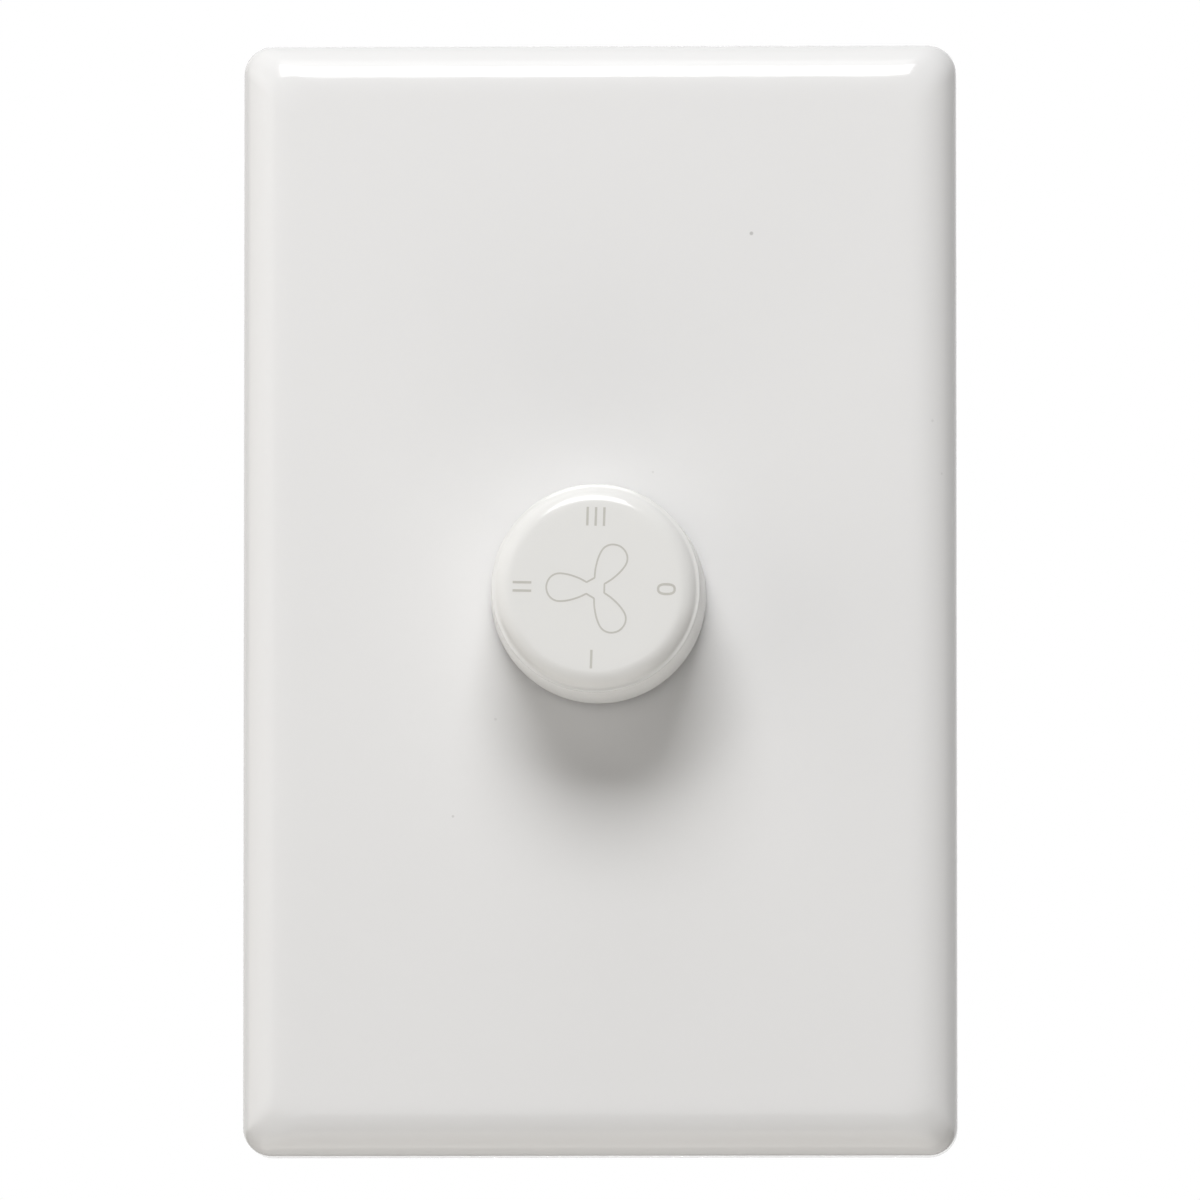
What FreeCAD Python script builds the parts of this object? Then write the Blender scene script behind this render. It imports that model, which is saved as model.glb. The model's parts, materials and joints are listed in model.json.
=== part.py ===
"""Fan speed control switch: a rotary controller on an upright wall plate, built as a parametric assembly.

Every piece is drawn in the wall's own axes: X to the right, Y up the wall and Z out of the wall, with the
wall's face at Z = 0 and the spindle on the Z axis. The placement of each piece then stands the wall up, so
that the finished part has Z up and faces -Y.
"""

import FreeCAD
import Part
import enum
import math
import os
import re
import Sketcher

# Driving sizes in millimetres, and degrees where the name says angle. Each one is written only here.
SIZES = {
    # cover plate
    "plate_width": 75.0,
    "plate_height": 117.0,
    "plate_depth": 9.5,
    "plate_corner": 3.0,
    "plate_wall": 2.0,
    "edge_round": 4.5,
    "knob_hole_radius": 5.2,
    "standoff_width": 3.2,
    "standoff_inset": 6.0,
    "snap_length": 10.0,
    "snap_pitch": 60.0,
    "snap_hook": 0.5,
    "snap_height": 0.8,
    "snap_gap": 0.1,
    # grid plate, which is screwed to the wall
    "grid_gap": 0.4,
    "grid_back": 1.2,
    "grid_thick": 2.5,
    "grid_corner": 2.0,
    "fixing_pitch": 84.0,
    "fixing_hole_radius": 2.25,
    "fixing_pad_width": 11.0,
    "boss_height": 2.8,
    "boss_width": 6.4,
    "grid_rib_height": 1.5,
    "grid_rib_width": 1.4,
    # rear housing and its screws
    "housing_width": 50.0,
    "housing_height": 66.0,
    "housing_corner": 3.0,
    "housing_wall": 2.0,
    "housing_edge": 1.0,
    "step_height": 14.0,
    "post_wall": 1.5,
    "post_margin": 0.3,
    "post_seat": 6.2,
    "shelf_reach": 2.5,
    "shelf_width": 3.0,
    "shelf_pitch": 24.0,
    "screw_radius": 1.5,
    "screw_gap": 0.2,
    "screw_head_radius": 2.8,
    "screw_head_height": 2.0,
    "screw_head_gap": 0.4,
    "screw_slot": 0.7,
    "slot_depth": 0.8,
    # bush and nut
    "bush_radius": 4.7,
    "bush_length": 7.6,
    "bush_gap": 0.1,
    "press_gap": 0.02,
    "running_gap": 0.05,
    "nut_flats": 14.0,
    "nut_thick": 2.5,
    # rotary switch
    "frame_thick": 1.0,
    "switch_width": 30.0,
    "cavity_radius": 12.0,
    "cavity_depth": 8.2,
    "switch_floor": 2.5,
    "foot_height": 3.9,
    "foot_width": 2.6,
    "tab_width": 6.0,
    "tab_thick": 0.8,
    "tab_hook": 2.0,
    "detent_radius": 1.7,
    "detent_depth": 0.5,
    "stop_inner": 9.0,
    "stop_outer": 11.4,
    "stop_gap": 0.3,
    "stop_margin_angle": 5.0,
    "lug_half_angle": 20.0,
    "turn_to_off_angle": 90.0,
    "turn_to_low_angle": 180.0,
    # contacts
    "contact_circle": 7.2,
    "contact_width": 2.4,
    "contact_rise": 0.4,
    "contact_gap": 0.1,
    "common_inner": 2.4,
    "common_outer": 5.2,
    "pin_width": 1.2,
    "pin_gap": 0.1,
    "pin_tip": 0.5,
    "wiper_width": 4.0,
    "wiper_thick": 0.3,
    "wiper_flat": 2.8,
    "stake_width": 1.0,
    "stake_offset": 1.3,
    "stake_height": 0.7,
    # rotor and detent
    "rotor_gap": 0.3,
    "rotor_front_gap": 0.5,
    "rotor_thick": 5.0,
    "rotor_floor": 1.0,
    "roller_radius": 1.5,
    "roller_length": 3.0,
    "roller_gap": 0.15,
    "spring_radius": 4.0,
    "spring_half_angle": 48.0,
    "spring_thick": 0.3,
    "spring_width": 3.0,
    "spring_gap": 0.05,
    # spindle and its clips
    "spindle_radius": 3.0,
    "spindle_flat": 1.5,
    "groove_radius": 2.3,
    "ring_thick": 0.6,
    "ring_gap": 0.1,
    "ring_radius": 4.5,
    "ring_opening_angle": 60.0,
    # knob
    "knob_gap": 0.8,
    "knob_height": 13.0,
    "knob_radius": 11.2,
    "knob_bead": 0.57,
    "cap_round": 1.9,
    "cap_fall_angle": 52.0,
    "knob_wall": 1.5,
    "knob_roof": 2.0,
    "hub_radius": 5.2,
    "hub_rise": 0.3,
    "hub_slit": 1.0,
    "hub_slit_height": 7.0,
    "spindle_end_gap": 0.8,
    "hub_cap": 0.6,
    "knob_rib": 1.0,
    "knob_rib_count": 6.0,
    "knob_rib_rise": 2.6,
    # circuit board and what stands on it
    "board_gap": 1.0,
    "board_thick": 1.6,
    "notch_gap": 0.5,
    "cap_lift": 0.8,
    "cap_height": 12.7,
    "cap_back_gap": 1.5,
    "large_cap_length": 30.0,
    "large_cap_width": 18.0,
    "small_cap_length": 26.5,
    "small_cap_width": 14.0,
    "cap_edge_gap": 5.0,
    "cap_spacing": 2.0,
    "lead_width": 0.8,
    "lead_inset": 2.0,
    "resistor_radius": 1.8,
    "resistor_length": 8.0,
    "resistor_lead": 2.5,
    "resistor_lift": 0.2,
    "resistor_space": 2.6,
    # terminals
    "tunnel_post_gap": 1.05,
    "tunnel_length": 8.8,
    "tunnel_height": 8.0,
    "tunnel_gap": 0.2,
    "wire_radius": 2.0,
    "wire_depth": 3.2,
    "wire_entry_gap": 0.3,
    "barrier_width": 1.2,
    "barrier_gap": 0.9,
    "terminal_screw_radius": 1.9,
    "terminal_screw_lift": 0.8,
    "access_gap": 0.9,
    "thread_gap": 0.05,
    "terminal_pin_spread": 2.5,
}

# Levels and places that follow from the driving sizes. Each formula may use the names above it.
LAYOUT = {
    # levels along Z, from the front of the plate to the back of the housing
    "shoulder": "plate_depth - edge_round",
    "plate_inside": "plate_depth - plate_wall",
    "inside_round": "edge_round - plate_wall",
    "grid_front": "grid_back + grid_thick",
    "boss_front": "grid_front + boss_height",
    "grid_rib_front": "grid_front + grid_rib_height",
    "nut_front": "grid_front + nut_thick",
    "bush_front": "grid_back + bush_length",
    "frame_back": "grid_back - frame_thick",
    "cavity_floor": "frame_back - cavity_depth",
    "switch_back": "cavity_floor - switch_floor",
    "board_front": "switch_back - foot_height",
    "board_back": "board_front - board_thick",
    "cap_front": "board_back - cap_lift",
    "cap_back": "cap_front - cap_height",
    "housing_inside": "cap_back - cap_back_gap",
    "housing_back": "housing_inside - housing_wall",
    "tunnel_back": "board_back - tunnel_height",
    "step_back": "tunnel_back - housing_wall",
    "seat_back": "grid_back - post_seat",
    "wire_level": "board_back - wire_depth",
    # grid plate and cover
    "grid_width": "plate_width - 2 * plate_wall - 2 * grid_gap",
    "grid_height": "plate_height - 2 * plate_wall - 2 * grid_gap",
    "inner_half_width": "plate_width / 2 - plate_wall",
    "standoff_across": "grid_width / 2 - standoff_inset",
    "standoff_up": "grid_height / 2 - standoff_inset",
    "snap_reach": "grid_gap + snap_hook",
    "snap_top": "grid_back - snap_gap",
    # housing posts, with a counterbore that takes the screw's head
    "counterbore_radius": "screw_head_radius + screw_head_gap",
    "post_radius": "counterbore_radius + post_wall",
    "post_across": "housing_width / 2 - post_radius - post_margin",
    "post_up": "housing_height / 2 - post_radius - post_margin",
    "housing_bottom": "-housing_height / 2",
    "inside_bottom": "housing_bottom + housing_wall",
    # rotary switch
    "tab_back": "switch_back - tab_thick",
    "foot_place": "switch_width / 2 - foot_width / 2",
    "rotor_radius": "cavity_radius - rotor_gap",
    "rotor_front": "frame_back - rotor_front_gap",
    "rotor_back": "rotor_front - rotor_thick",
    "stop_front": "rotor_back - stop_gap",
    "lug_back": "cavity_floor + stop_gap",
    "stop_start_angle": "turn_to_off_angle + lug_half_angle + stop_margin_angle",
    "stop_end_angle": "360 - turn_to_low_angle - lug_half_angle - stop_margin_angle",
    "detent_circle": "cavity_radius + detent_depth - detent_radius",
    "contact_front": "cavity_floor + contact_rise",
    "wiper_tip": "contact_front + contact_gap",
    "pin_back": "board_back - pin_tip",
    "common_circle": "(common_inner + common_outer) / 2",
    "slot_half": "roller_radius + roller_gap",
    "roller_circle": "cavity_radius - roller_gap - roller_radius",
    "roller_level": "rotor_front - roller_gap - roller_length / 2",
    "slot_back": "roller_level - roller_length / 2 - roller_gap",
    "spring_crown": "roller_circle - roller_radius - spring_gap",
    "spring_outer": "spring_radius + spring_thick",
    "spring_centre": "spring_crown - spring_outer",
    "spring_seat": "spring_centre + spring_radius * cos(spring_half_angle) - spring_gap",
    "spring_half_width": "spring_outer * sin(spring_half_angle) + roller_gap",
    # knob and spindle
    "knob_foot": "plate_depth + knob_gap",
    "knob_face": "knob_foot + knob_height",
    "roof_under": "knob_face - knob_roof",
    "cap_radius": "knob_radius - knob_bead",
    "cap_side": "knob_face - cap_round",
    "cap_slope": "cap_round * (1 - sin(cap_fall_angle)) * tan(cap_fall_angle)",
    "ledge": "cap_side + cap_round * cos(cap_fall_angle) - cap_slope",
    "hub_foot": "knob_foot + hub_rise",
    "bore_end": "roof_under - hub_cap",
    "spindle_front": "bore_end - spindle_end_gap",
    "spindle_back": "rotor_back + rotor_floor",
    "flat_foot": "hub_foot - hub_rise",
    "ring_back": "bush_front + ring_gap",
    "ring_front": "ring_back + ring_thick",
    "groove_front": "ring_front + running_gap",
    "hub_bore": "spindle_radius + press_gap",
    "knob_rib_foot": "hub_foot + knob_rib_rise",
    # circuit board
    "board_half_width": "housing_width / 2 - housing_wall - board_gap",
    "board_half_height": "housing_height / 2 - housing_wall - board_gap",
    "notch_across": "post_across - post_radius - notch_gap",
    "notch_up": "post_up - post_radius - notch_gap",
    "large_cap_place": "board_half_height - cap_edge_gap - large_cap_width / 2",
    "small_cap_place": "large_cap_place - (large_cap_width + small_cap_width) / 2 - cap_spacing",
    "resistor_level": "board_front + resistor_radius + resistor_lift",
    "resistor_place": "switch_width / 2 + resistor_radius + resistor_space",
    "resistor_leg": "resistor_length / 2 + resistor_lead",
    # terminals, which share the room between the housing's posts
    "tunnel_space": "barrier_width + 2 * barrier_gap",
    "tunnel_width": "2 * (post_across - post_radius - tunnel_post_gap - tunnel_space) / 3",
    "terminal_pitch": "tunnel_width + tunnel_space",
    "tunnel_low": "inside_bottom + tunnel_gap",
    "tunnel_high": "tunnel_low + tunnel_length",
    "tunnel_middle": "tunnel_low + tunnel_length / 2",
    "wire_entry_width": "2 * (wire_radius + wire_entry_gap)",
    "access_width": "2 * (terminal_screw_radius + access_gap)",
    "terminal_screw_back": "tunnel_back - terminal_screw_lift",
    "terminal_screw_tip": "wire_level - wire_radius - screw_gap",
}

EDGE_BANDS, CAP_BANDS, BEAD_BANDS = 8, 4, 2
NEGLIGIBLE = 1e-6
UPWARDS = FreeCAD.Vector(0, 0, 1)
STAND_UP = FreeCAD.Placement(FreeCAD.Vector(), FreeCAD.Rotation(FreeCAD.Vector(1, 0, 0), 90))
SIDES = (-1, 1)
CORNERS = [(across, up) for across in SIDES for up in SIDES]
LOW_POST, HIGH_POST = (1, -1), (-1, 1)
PLANE_FACES = {"XY_Plane": 1, "XZ_Plane": -1, "YZ_Plane": 1}

doc = FreeCAD.newDocument("fan_speed_control")


class Spot(enum.IntEnum):
    """How a sketch numbers the points of a line or arc."""

    START = 1
    END = 2
    CENTRE = 3


# Sheets and expressions


def cell(text):
    """An expression in plain size names, with each name turned into a reference to its sheet."""

    def reference(match):
        name = match.group(0)
        if name in SIZES:
            return f"Sizes.{name}"
        return f"Layout.{name}" if name in LAYOUT else name

    return re.sub(r"[a-z_]+", reference, text)


def fill_sheets():
    """One sheet of plain driving numbers, and one of the formulas that follow from them."""
    sizes = doc.addObject("Spreadsheet::Sheet", "Sizes")
    layout = doc.addObject("Spreadsheet::Sheet", "Layout")
    for row, (name, number) in enumerate(SIZES.items(), start=1):
        sizes.set(f"A{row}", str(number))
        sizes.setAlias(f"A{row}", name)
    for row, (name, formula) in enumerate(LAYOUT.items(), start=1):
        layout.set(f"A{row}", "=" + cell(formula))
        layout.setAlias(f"A{row}", name)
    doc.recompute()
    return sizes


sheet = fill_sheets()


def value(text):
    """The present number of an expression."""
    return float(sheet.evalExpression(cell(text)))


def bind(thing, name, text):
    thing.setExpression(name, cell(text))


def signed(sign, text):
    return f"{sign} * ({text})"


# Sketch shapes: each function returns one that draws its outline, bound to the sheets, in a sketch


def add_bound(sketch, constraint, text):
    index = sketch.addConstraint(constraint)
    bind(sketch, f"Constraints[{index}]", text)


def pin(sketch, geometry, point, across, up):
    """Hold a point of the sketch at a place that the sheets give."""
    add_bound(sketch, Sketcher.Constraint("DistanceX", -1, 1, geometry, point, value(across)), across)
    add_bound(sketch, Sketcher.Constraint("DistanceY", -1, 1, geometry, point, value(up)), up)


def circle(radius, across="0", up="0"):
    def draw(sketch):
        centre = FreeCAD.Vector(value(across), value(up), 0)
        index = sketch.addGeometry(Part.Circle(centre, UPWARDS, value(radius)))
        pin(sketch, index, Spot.CENTRE, across, up)
        add_bound(sketch, Sketcher.Constraint("Radius", index, value(radius)), radius)

    return draw


def arc_edge(begin, finish, radius):
    """The short arc between two points, turning left for a positive radius, and its end points' numbers."""
    left_turn = radius > 0
    chord = finish - begin
    to_left = UPWARDS.cross(chord).normalize()
    height = math.sqrt(max(radius**2 - chord.Length**2 / 4, 0.0))
    centre = (begin + finish) * 0.5 + to_left * (height if left_turn else -height)
    first, last = (begin, finish) if left_turn else (finish, begin)
    angles = [math.atan2(point.y - centre.y, point.x - centre.x) for point in (first, last)]
    if angles[1] < angles[0]:
        angles[1] += 2 * math.pi
    arc = Part.ArcOfCircle(Part.Circle(centre, UPWARDS, abs(radius)), *angles)
    return arc, (Spot.START, Spot.END) if left_turn else (Spot.END, Spot.START)


def outline(*corners):
    """A closed outline through corners (across, up). A third item is the radius of the arc that ends there:
    positive where it turns left on the way round."""

    def draw(sketch):
        points = [FreeCAD.Vector(value(corner[0]), value(corner[1]), 0) for corner in corners]
        edges = []
        for number, corner in enumerate(corners):
            begin, finish = points[number - 1], points[number]
            if len(corner) == 2:
                shape, ends = Part.LineSegment(begin, finish), (Spot.START, Spot.END)
            else:
                shape, ends = arc_edge(begin, finish, value(corner[2]))
            edges.append((sketch.addGeometry(shape), ends))
        for number, corner in enumerate(corners):
            edge, ends = edges[number]
            previous, previous_ends = edges[number - 1]
            joint = Sketcher.Constraint("Coincident", previous, previous_ends[1], edge, ends[0])
            sketch.addConstraint(joint)
            pin(sketch, edge, ends[1], corner[0], corner[1])
            if len(corner) > 2:
                radius = f"abs({corner[2]})"
                add_bound(sketch, Sketcher.Constraint("Radius", edge, value(radius)), radius)

    return draw


def box(width, height, across="0", up="0"):
    left, right = f"{across} - ({width}) / 2", f"{across} + ({width}) / 2"
    low, high = f"{up} - ({height}) / 2", f"{up} + ({height}) / 2"
    return outline((left, low), (right, low), (right, high), (left, high))


def square(width, across="0", up="0"):
    return box(width, width, across, up)


def rounded_box(width, height, corner, across="0", up="0"):
    left, right = f"{across} - ({width}) / 2", f"{across} + ({width}) / 2"
    low, high = f"{up} - ({height}) / 2", f"{up} + ({height}) / 2"
    return outline(
        (f"{right} - ({corner})", low),
        (right, f"{low} + {corner}", corner),
        (right, f"{high} - ({corner})"),
        (f"{right} - ({corner})", high, corner),
        (f"{left} + {corner}", high),
        (left, f"{high} - ({corner})", corner),
        (left, f"{low} + {corner}"),
        (f"{left} + {corner}", low, corner),
    )


def sector(inner, outer, start, end, across="0"):
    """Part of a flat ring between two angles. Each arc is drawn in two halves, so it may pass 180 degrees."""
    middle = f"(({start}) + ({end})) / 2"

    def at(radius, angle, *turn):
        return (f"{across} + ({radius}) * cos({angle})", f"({radius}) * sin({angle})", *turn)

    return outline(
        at(outer, start),
        at(outer, middle, outer),
        at(outer, end, outer),
        at(inner, end),
        at(inner, middle, f"-({inner})"),
        at(inner, start, f"-({inner})"),
    )


def flatted_bar(radius, flat):
    """The section of a round bar with one flat at the top."""
    half = f"sqrt(({radius})^2 - ({flat})^2)"
    return outline((f"-{half}", flat), ("0", f"-({radius})", radius), (half, flat, radius))


def hexagon(flats):
    corner = f"({flats}) / 2 / cos(30)"
    return outline(*[(f"{corner} * cos({60 * n})", f"{corner} * sin({60 * n})") for n in range(6)])


# Bodies and features


def new_body(name):
    body = doc.addObject("PartDesign::Body", name)
    body.Label = name
    body.AllowCompound = True
    body.Placement = STAND_UP
    return body


def origin_item(body, role):
    """One of the body's own planes or axes."""
    return next(item for item in body.Origin.OriginFeatures if item.Role == role)


def sketch_at(body, name, plane, level, shapes):
    sketch = body.newObject("Sketcher::SketchObject", f"{body.Name}_{name}_sketch")
    sketch.AttachmentSupport = [(origin_item(body, plane), "")]
    sketch.MapMode = "FlatFace"
    bind(sketch, "AttachmentOffset.Base.z", level)
    for shape in shapes:
        shape(sketch)
    return sketch


def pad(body, name, low, high, *shapes, plane="XY_Plane"):
    """Material between two levels along the plane's axis."""
    start = low if PLANE_FACES[plane] > 0 else f"-({high})"
    sketch = sketch_at(body, name, plane, start, shapes)
    feature = body.newObject("PartDesign::Pad", f"{body.Name}_{name}")
    feature.Profile = sketch
    bind(feature, "Length", f"({high}) - ({low})")
    return feature


def pocket(body, name, low, high, *shapes, plane="XY_Plane"):
    """A cut between two levels along the plane's axis."""
    start = high if PLANE_FACES[plane] > 0 else f"-({low})"
    sketch = sketch_at(body, name, plane, start, shapes)
    feature = body.newObject("PartDesign::Pocket", f"{body.Name}_{name}")
    feature.Profile = sketch
    bind(feature, "Length", f"({high}) - ({low})")
    return feature


def turned(body, name, *corners):
    """A revolved profile: each corner is a radius and a level on the Z axis."""
    sketch = sketch_at(body, name, "XZ_Plane", "0", [outline(*corners)])
    feature = body.newObject("PartDesign::Revolution", f"{body.Name}_{name}")
    feature.Profile = sketch
    feature.ReferenceAxis = (sketch, ["V_Axis"])
    feature.Angle = 360
    return feature


def loft(body, kind, name, sections):
    """A loft through sections, each a level on the Z axis and the shape drawn there."""
    sketches = []
    for number, (level, shape) in enumerate(sections):
        sketches.append(sketch_at(body, f"{name}_{number}", "XY_Plane", level, [shape]))
    feature = body.newObject(f"PartDesign::{kind}", f"{body.Name}_{name}")
    feature.Profile = sketches[0]
    feature.Sections = sketches[1:]
    feature.Ruled = True
    return feature


def chamfer_edges(body, feature, level, size):
    """Chamfer the edges of a feature that lie at one level of the Z axis."""
    doc.recompute()
    names = []
    for number, edge in enumerate(feature.Shape.Edges, start=1):
        bounds = edge.BoundBox
        if max(abs(bounds.ZMin - value(level)), abs(bounds.ZMax - value(level))) < NEGLIGIBLE:
            names.append(f"Edge{number}")
    chamfer = body.newObject("PartDesign::Chamfer", f"{body.Name}_edges")
    chamfer.Base = (feature, names)
    bind(chamfer, "Size", size)


# Cover plate and grid plate


def rounded_shoulder():
    """Sections of the plate's rounded edge. Corners keep their radius, so soft mitres run up to the face."""
    sections = []
    for number in range(EDGE_BANDS + 1):
        angle = 90 * number / EDGE_BANDS
        inset = f"2 * edge_round * (1 - cos({angle}))"
        shape = rounded_box(f"plate_width - {inset}", f"plate_height - {inset}", "plate_corner")
        sections.append((f"shoulder + edge_round * sin({angle})", shape))
    return sections


def inside_box(inset):
    """The plate's hollow, seen from behind, at an inset from the inside of its walls."""
    around = f"2 * (plate_wall + {inset})"
    return box(f"plate_width - {around}", f"plate_height - {around}")


def cover_plate():
    body = new_body("cover_plate")
    pad(body, "sides", "0", "shoulder", rounded_box("plate_width", "plate_height", "plate_corner"))
    loft(body, "AdditiveLoft", "face", rounded_shoulder())
    pocket(body, "hollow", "0", "shoulder", inside_box("0"))
    hollow_face = [("shoulder", inside_box("0")), ("plate_inside", inside_box("inside_round"))]
    loft(body, "SubtractiveLoft", "hollow_face", hollow_face)
    standoffs = [
        square("standoff_width", signed(across, "standoff_across"), signed(up, "standoff_up"))
        for across, up in CORNERS
    ]
    pad(body, "standoffs", "grid_front", "plate_inside + plate_wall / 2", *standoffs)
    snap_size = ("snap_reach + plate_wall / 2", "snap_length")
    snap_place = "inner_half_width + (plate_wall / 2 - snap_reach) / 2"
    snaps = [
        box(*snap_size, signed(across, snap_place), signed(up, "snap_pitch / 2")) for across, up in CORNERS
    ]
    pad(body, "snaps", "snap_top - snap_height", "snap_top", *snaps)
    pocket(body, "knob_hole", "plate_inside", "plate_depth", circle("knob_hole_radius"))


def at_fixings(shape, size):
    return [shape(size, "0", signed(up, "fixing_pitch / 2")) for up in SIDES]


def at_posts(shape, size, posts=(LOW_POST, HIGH_POST)):
    return [shape(size, signed(across, "post_across"), signed(up, "post_up")) for across, up in posts]


def grid_plate():
    body = new_body("grid_plate")
    panel = rounded_box("grid_width", "grid_height", "grid_corner")
    pad(body, "panel", "grid_back", "grid_front", panel, circle("bush_radius + bush_gap"))
    pad(body, "wall_pads", "0", "grid_back", *at_fixings(square, "fixing_pad_width"))
    pocket(body, "fixing_holes", "0", "grid_front", *at_fixings(circle, "fixing_hole_radius"))
    rib_inner = box("housing_width - 2 * grid_rib_width", "housing_height - 2 * grid_rib_width")
    pad(body, "rib", "grid_front", "grid_rib_front", box("housing_width", "housing_height"), rib_inner)
    pad(body, "bosses", "grid_front", "boss_front", *at_posts(square, "boss_width"))
    pocket(body, "pilot_holes", "grid_back", "boss_front", *at_posts(circle, "screw_radius + thread_gap"))


# Rear housing and its screws


def terminal_places():
    return [signed(number, "terminal_pitch") for number in (-1, 0, 1)]


def at_terminals(shape, *size):
    return [shape(*size, place, "tunnel_middle") for place in terminal_places()]


def rear_housing():
    body = new_body("rear_housing")
    deep_height = "housing_height - step_height"
    full = rounded_box("housing_width", "housing_height", "housing_corner")
    deep = rounded_box("housing_width", deep_height, "housing_corner", "0", "step_height / 2")
    pad(body, "front", "step_back", "grid_back", full)
    back = pad(body, "deep", "housing_back", "step_back", deep)
    chamfer_edges(body, back, "housing_back", "housing_edge")
    wall = "2 * housing_wall"
    hollow = box(f"housing_width - {wall}", f"housing_height - {wall}")
    deep_hollow = box(f"housing_width - {wall}", f"{deep_height} - {wall}", "0", "step_height / 2")
    pocket(body, "hollow", "tunnel_back", "grid_back", hollow)
    pocket(body, "deep_hollow", "housing_inside", "tunnel_back", deep_hollow)
    housing_posts(body)
    housing_ribs(body)
    wires = [square("wire_entry_width", place, "wire_level") for place in terminal_places()]
    pocket(body, "wire_entries", "housing_bottom", "inside_bottom", *wires, plane="XZ_Plane")
    pocket(body, "screw_access", "step_back", "tunnel_back", *at_terminals(square, "access_width"))


def housing_posts(body):
    """A post for each screw, with a counterbore that takes the screw's head."""
    pad(body, "low_post", "step_back", "grid_back", *at_posts(circle, "post_radius", [LOW_POST]))
    high_back = "housing_back + housing_edge"
    pad(body, "high_post", high_back, "grid_back", *at_posts(circle, "post_radius", [HIGH_POST]))
    pocket(body, "screw_holes", "seat_back", "grid_back", *at_posts(circle, "screw_radius + screw_gap"))
    for name, back, post in (("low", "step_back", LOW_POST), ("high", "housing_back", HIGH_POST)):
        bore = at_posts(circle, "counterbore_radius", [post])
        pocket(body, f"{name}_counterbore", back, "seat_back", *bore)


def housing_ribs(body):
    """Shelves that carry the circuit board, and barriers between the terminals."""
    shelf_length = "shelf_reach + housing_wall / 2"
    shelf_place = f"housing_width / 2 - housing_wall / 2 - ({shelf_length}) / 2"
    shelves = [
        box(shelf_length, "shelf_width", signed(across, shelf_place), signed(up, "shelf_pitch / 2"))
        for across, up in CORNERS
    ]
    pad(body, "shelves", "housing_inside - housing_wall / 2", "board_back", *shelves)
    barrier_low = "inside_bottom - housing_wall / 2"
    barriers = [
        box(
            "barrier_width",
            f"tunnel_high - ({barrier_low})",
            signed(across, "terminal_pitch / 2"),
            f"(tunnel_high + {barrier_low}) / 2",
        )
        for across in SIDES
    ]
    pad(body, "barriers", "tunnel_back - housing_wall / 2", "board_back", *barriers)


def housing_screws():
    body = new_body("housing_screws")
    head_back = "seat_back - screw_head_height"
    pad(body, "heads", head_back, "seat_back", *at_posts(circle, "screw_head_radius"))
    pad(body, "shanks", "seat_back", "boss_front - screw_gap", *at_posts(circle, "screw_radius"))

    def wide_slot(length, across, up):
        return box(length, "screw_slot", across, up)

    def high_slot(length, across, up):
        return box("screw_slot", length, across, up)

    for name, shape in (("wide_slots", wide_slot), ("high_slots", high_slot)):
        pocket(body, name, head_back, f"{head_back} + slot_depth", *at_posts(shape, "screw_head_radius"))


# Rotary switch: what stays still


def contact_places():
    """The speed contacts, from fast at the top to slow at the bottom, a step of the knob apart."""
    angles = [f"90 - {number} * turn_to_low_angle / 2" for number in range(3)]
    return [(f"contact_circle * cos({angle})", f"contact_circle * sin({angle})") for angle in angles]


def common_pin(width):
    return square(width, "-common_circle", "0")


def switch_pins(width):
    return [square(width, *place) for place in contact_places()] + [common_pin(width)]


def switch_frame():
    """A sheet with the bush in one piece, and two tabs that are bent round the switch's base and hold it."""
    body = new_body("switch_frame")
    pad(body, "sheet", "frame_back", "grid_back", square("switch_width"))
    tabs, hooks = [], []
    hook_length = "tab_hook + tab_thick"
    for side in SIDES:
        tabs.append(box("tab_width", "tab_thick", "0", signed(side, "(switch_width + tab_thick) / 2")))
        hook_place = f"switch_width / 2 + tab_thick - ({hook_length}) / 2"
        hooks.append(box("tab_width", hook_length, "0", signed(side, hook_place)))
    pad(body, "tabs", "tab_back", "grid_back", *tabs)
    pad(body, "hooks", "tab_back", "switch_back", *hooks)
    pad(body, "bush", "grid_back", "bush_front", circle("bush_radius"))
    pocket(body, "bore", "frame_back", "bush_front", circle("spindle_radius + running_gap"))


def bush_nut():
    body = new_body("bush_nut")
    thread = circle("bush_radius + thread_gap")
    pad(body, "hexagon", "grid_front", "nut_front", hexagon("nut_flats"), thread)


def switch_base():
    body = new_body("switch_base")
    pad(body, "block", "switch_back", "frame_back", square("switch_width"))
    pocket(body, "cavity", "cavity_floor", "frame_back", circle("cavity_radius"))
    detents = [
        circle("detent_radius", f"detent_circle * cos({angle})", f"detent_circle * sin({angle})")
        for angle in range(0, 360, 90)
    ]
    pocket(body, "detents", "cavity_floor", "frame_back", *detents)
    stop = sector("stop_inner", "stop_outer", "stop_start_angle", "stop_end_angle")
    pad(body, "stop", "cavity_floor - switch_floor / 2", "stop_front", stop)
    feet = [
        square("foot_width", signed(across, "foot_place"), signed(up, "foot_place")) for across, up in CORNERS
    ]
    pad(body, "feet", "board_front", "switch_back", *feet)
    pocket(body, "pin_holes", "switch_back", "cavity_floor", *switch_pins("pin_width + 2 * pin_gap"))


def fixed_contacts():
    body = new_body("fixed_contacts")
    heads = [square("contact_width", *place) for place in contact_places()]
    pins = [square("pin_width", *place) for place in contact_places()]
    pad(body, "heads", "cavity_floor", "contact_front", *heads)
    pad(body, "pins", "pin_back", "cavity_floor", *pins)


def common_contact():
    body = new_body("common_contact")
    pad(body, "ring", "cavity_floor", "contact_front", circle("common_outer"), circle("common_inner"))
    pad(body, "pin", "pin_back", "cavity_floor", common_pin("pin_width"))


# Rotary switch: what turns with the knob


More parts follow.
